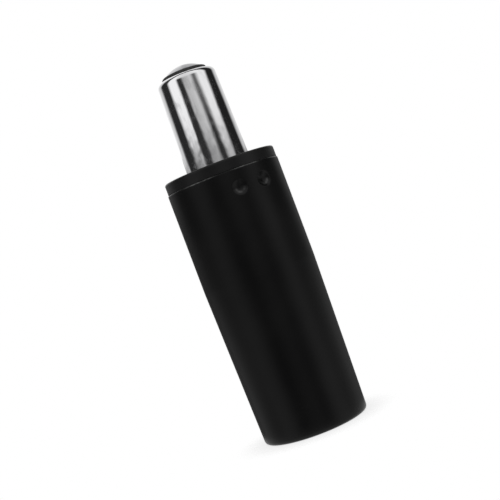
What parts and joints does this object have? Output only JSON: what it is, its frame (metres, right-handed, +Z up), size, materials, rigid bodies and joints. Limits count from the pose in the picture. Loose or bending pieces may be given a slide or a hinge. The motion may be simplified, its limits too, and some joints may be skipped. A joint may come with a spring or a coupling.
{
  "type": "chair gas lift cylinder",
  "caption": "Swivel chair gas lift: black tapered column tube with a guide sleeve, chromed tapered spindle that rises on a gas spring and turns on a ball bearing, and domed release button.",
  "frame": {"origin": "on the column's axis, in the plane of the foot's lower edge", "axes": "+Z up along the column, from the foot to the release button; -Y faces the front pair of stake dents"},
  "size_m": [0.05, 0.05, 0.165],
  "materials": {
    "black_paint": "satin black powder coat on steel tube",
    "black_plastic": "moulded black plastic, faintly polished by wear",
    "chrome": "bright chrome with faint grinding lines",
    "button_steel": "satin plated steel",
    "polished_steel": "ground and polished steel",
    "zinc_steel": "zinc plated pressed steel",
    "aluminium": "turned",
    "brass": "turned",
    "rubber": "matt black rubber"
  },
  "bodies": {
    "column": {"outer_tube": "black_paint", "base_plate": "zinc_steel", "guide_sleeve": "black_plastic", "lower_race": "zinc_steel"},
    "bearing": {"bearing_cage": "brass", "bearing_balls": "polished_steel"},
    "rod": {"piston_rod": "polished_steel", "piston": "aluminium", "piston_ring": "rubber", "piston_band": "black_plastic", "piston_washer": "zinc_steel", "upper_race": "zinc_steel", "bump_stop": "rubber", "retaining_clip": "zinc_steel", "clip_washer": "zinc_steel"},
    "spindle": {"spindle_tube": "chrome", "inner_cylinder": "polished_steel", "seal_disc": "zinc_steel", "rod_seal": "rubber", "rod_guide": "aluminium", "rod_guide_ring": "rubber", "valve_body": "aluminium", "valve_body_ring": "rubber", "cylinder_ring": "rubber", "pin_rings": "rubber", "seal_spacer": "black_plastic", "valve_cap": "brass"},
    "release": {"release_button": "button_steel", "valve_pin": "polished_steel", "button_band": "rubber"}
  },
  "joints": [
    {"name": "swivel", "type": "hinge", "parent": "column", "child": "rod", "pos_m": [0, 0, 0.0127], "axis": [0, 0, 1], "continuous": true},
    {"name": "cage_turn", "type": "hinge", "parent": "column", "child": "bearing", "pos_m": [0, 0, 0.0127], "axis": [0, 0, 1], "continuous": true},
    {"name": "lift", "type": "slide", "parent": "rod", "child": "spindle", "axis": [0, 0, 1], "range_m": [0, 0.05]},
    {"name": "release_press", "type": "slide", "parent": "spindle", "child": "release", "axis": [0, 0, -1], "range_m": [0, 0.0035], "stiffness_N_per_m": 1500, "springref_m": -0.005}
  ],
  "couplings": [
    {"joint": "cage_turn", "follows": "swivel", "ratio": 0.5}
  ]
}
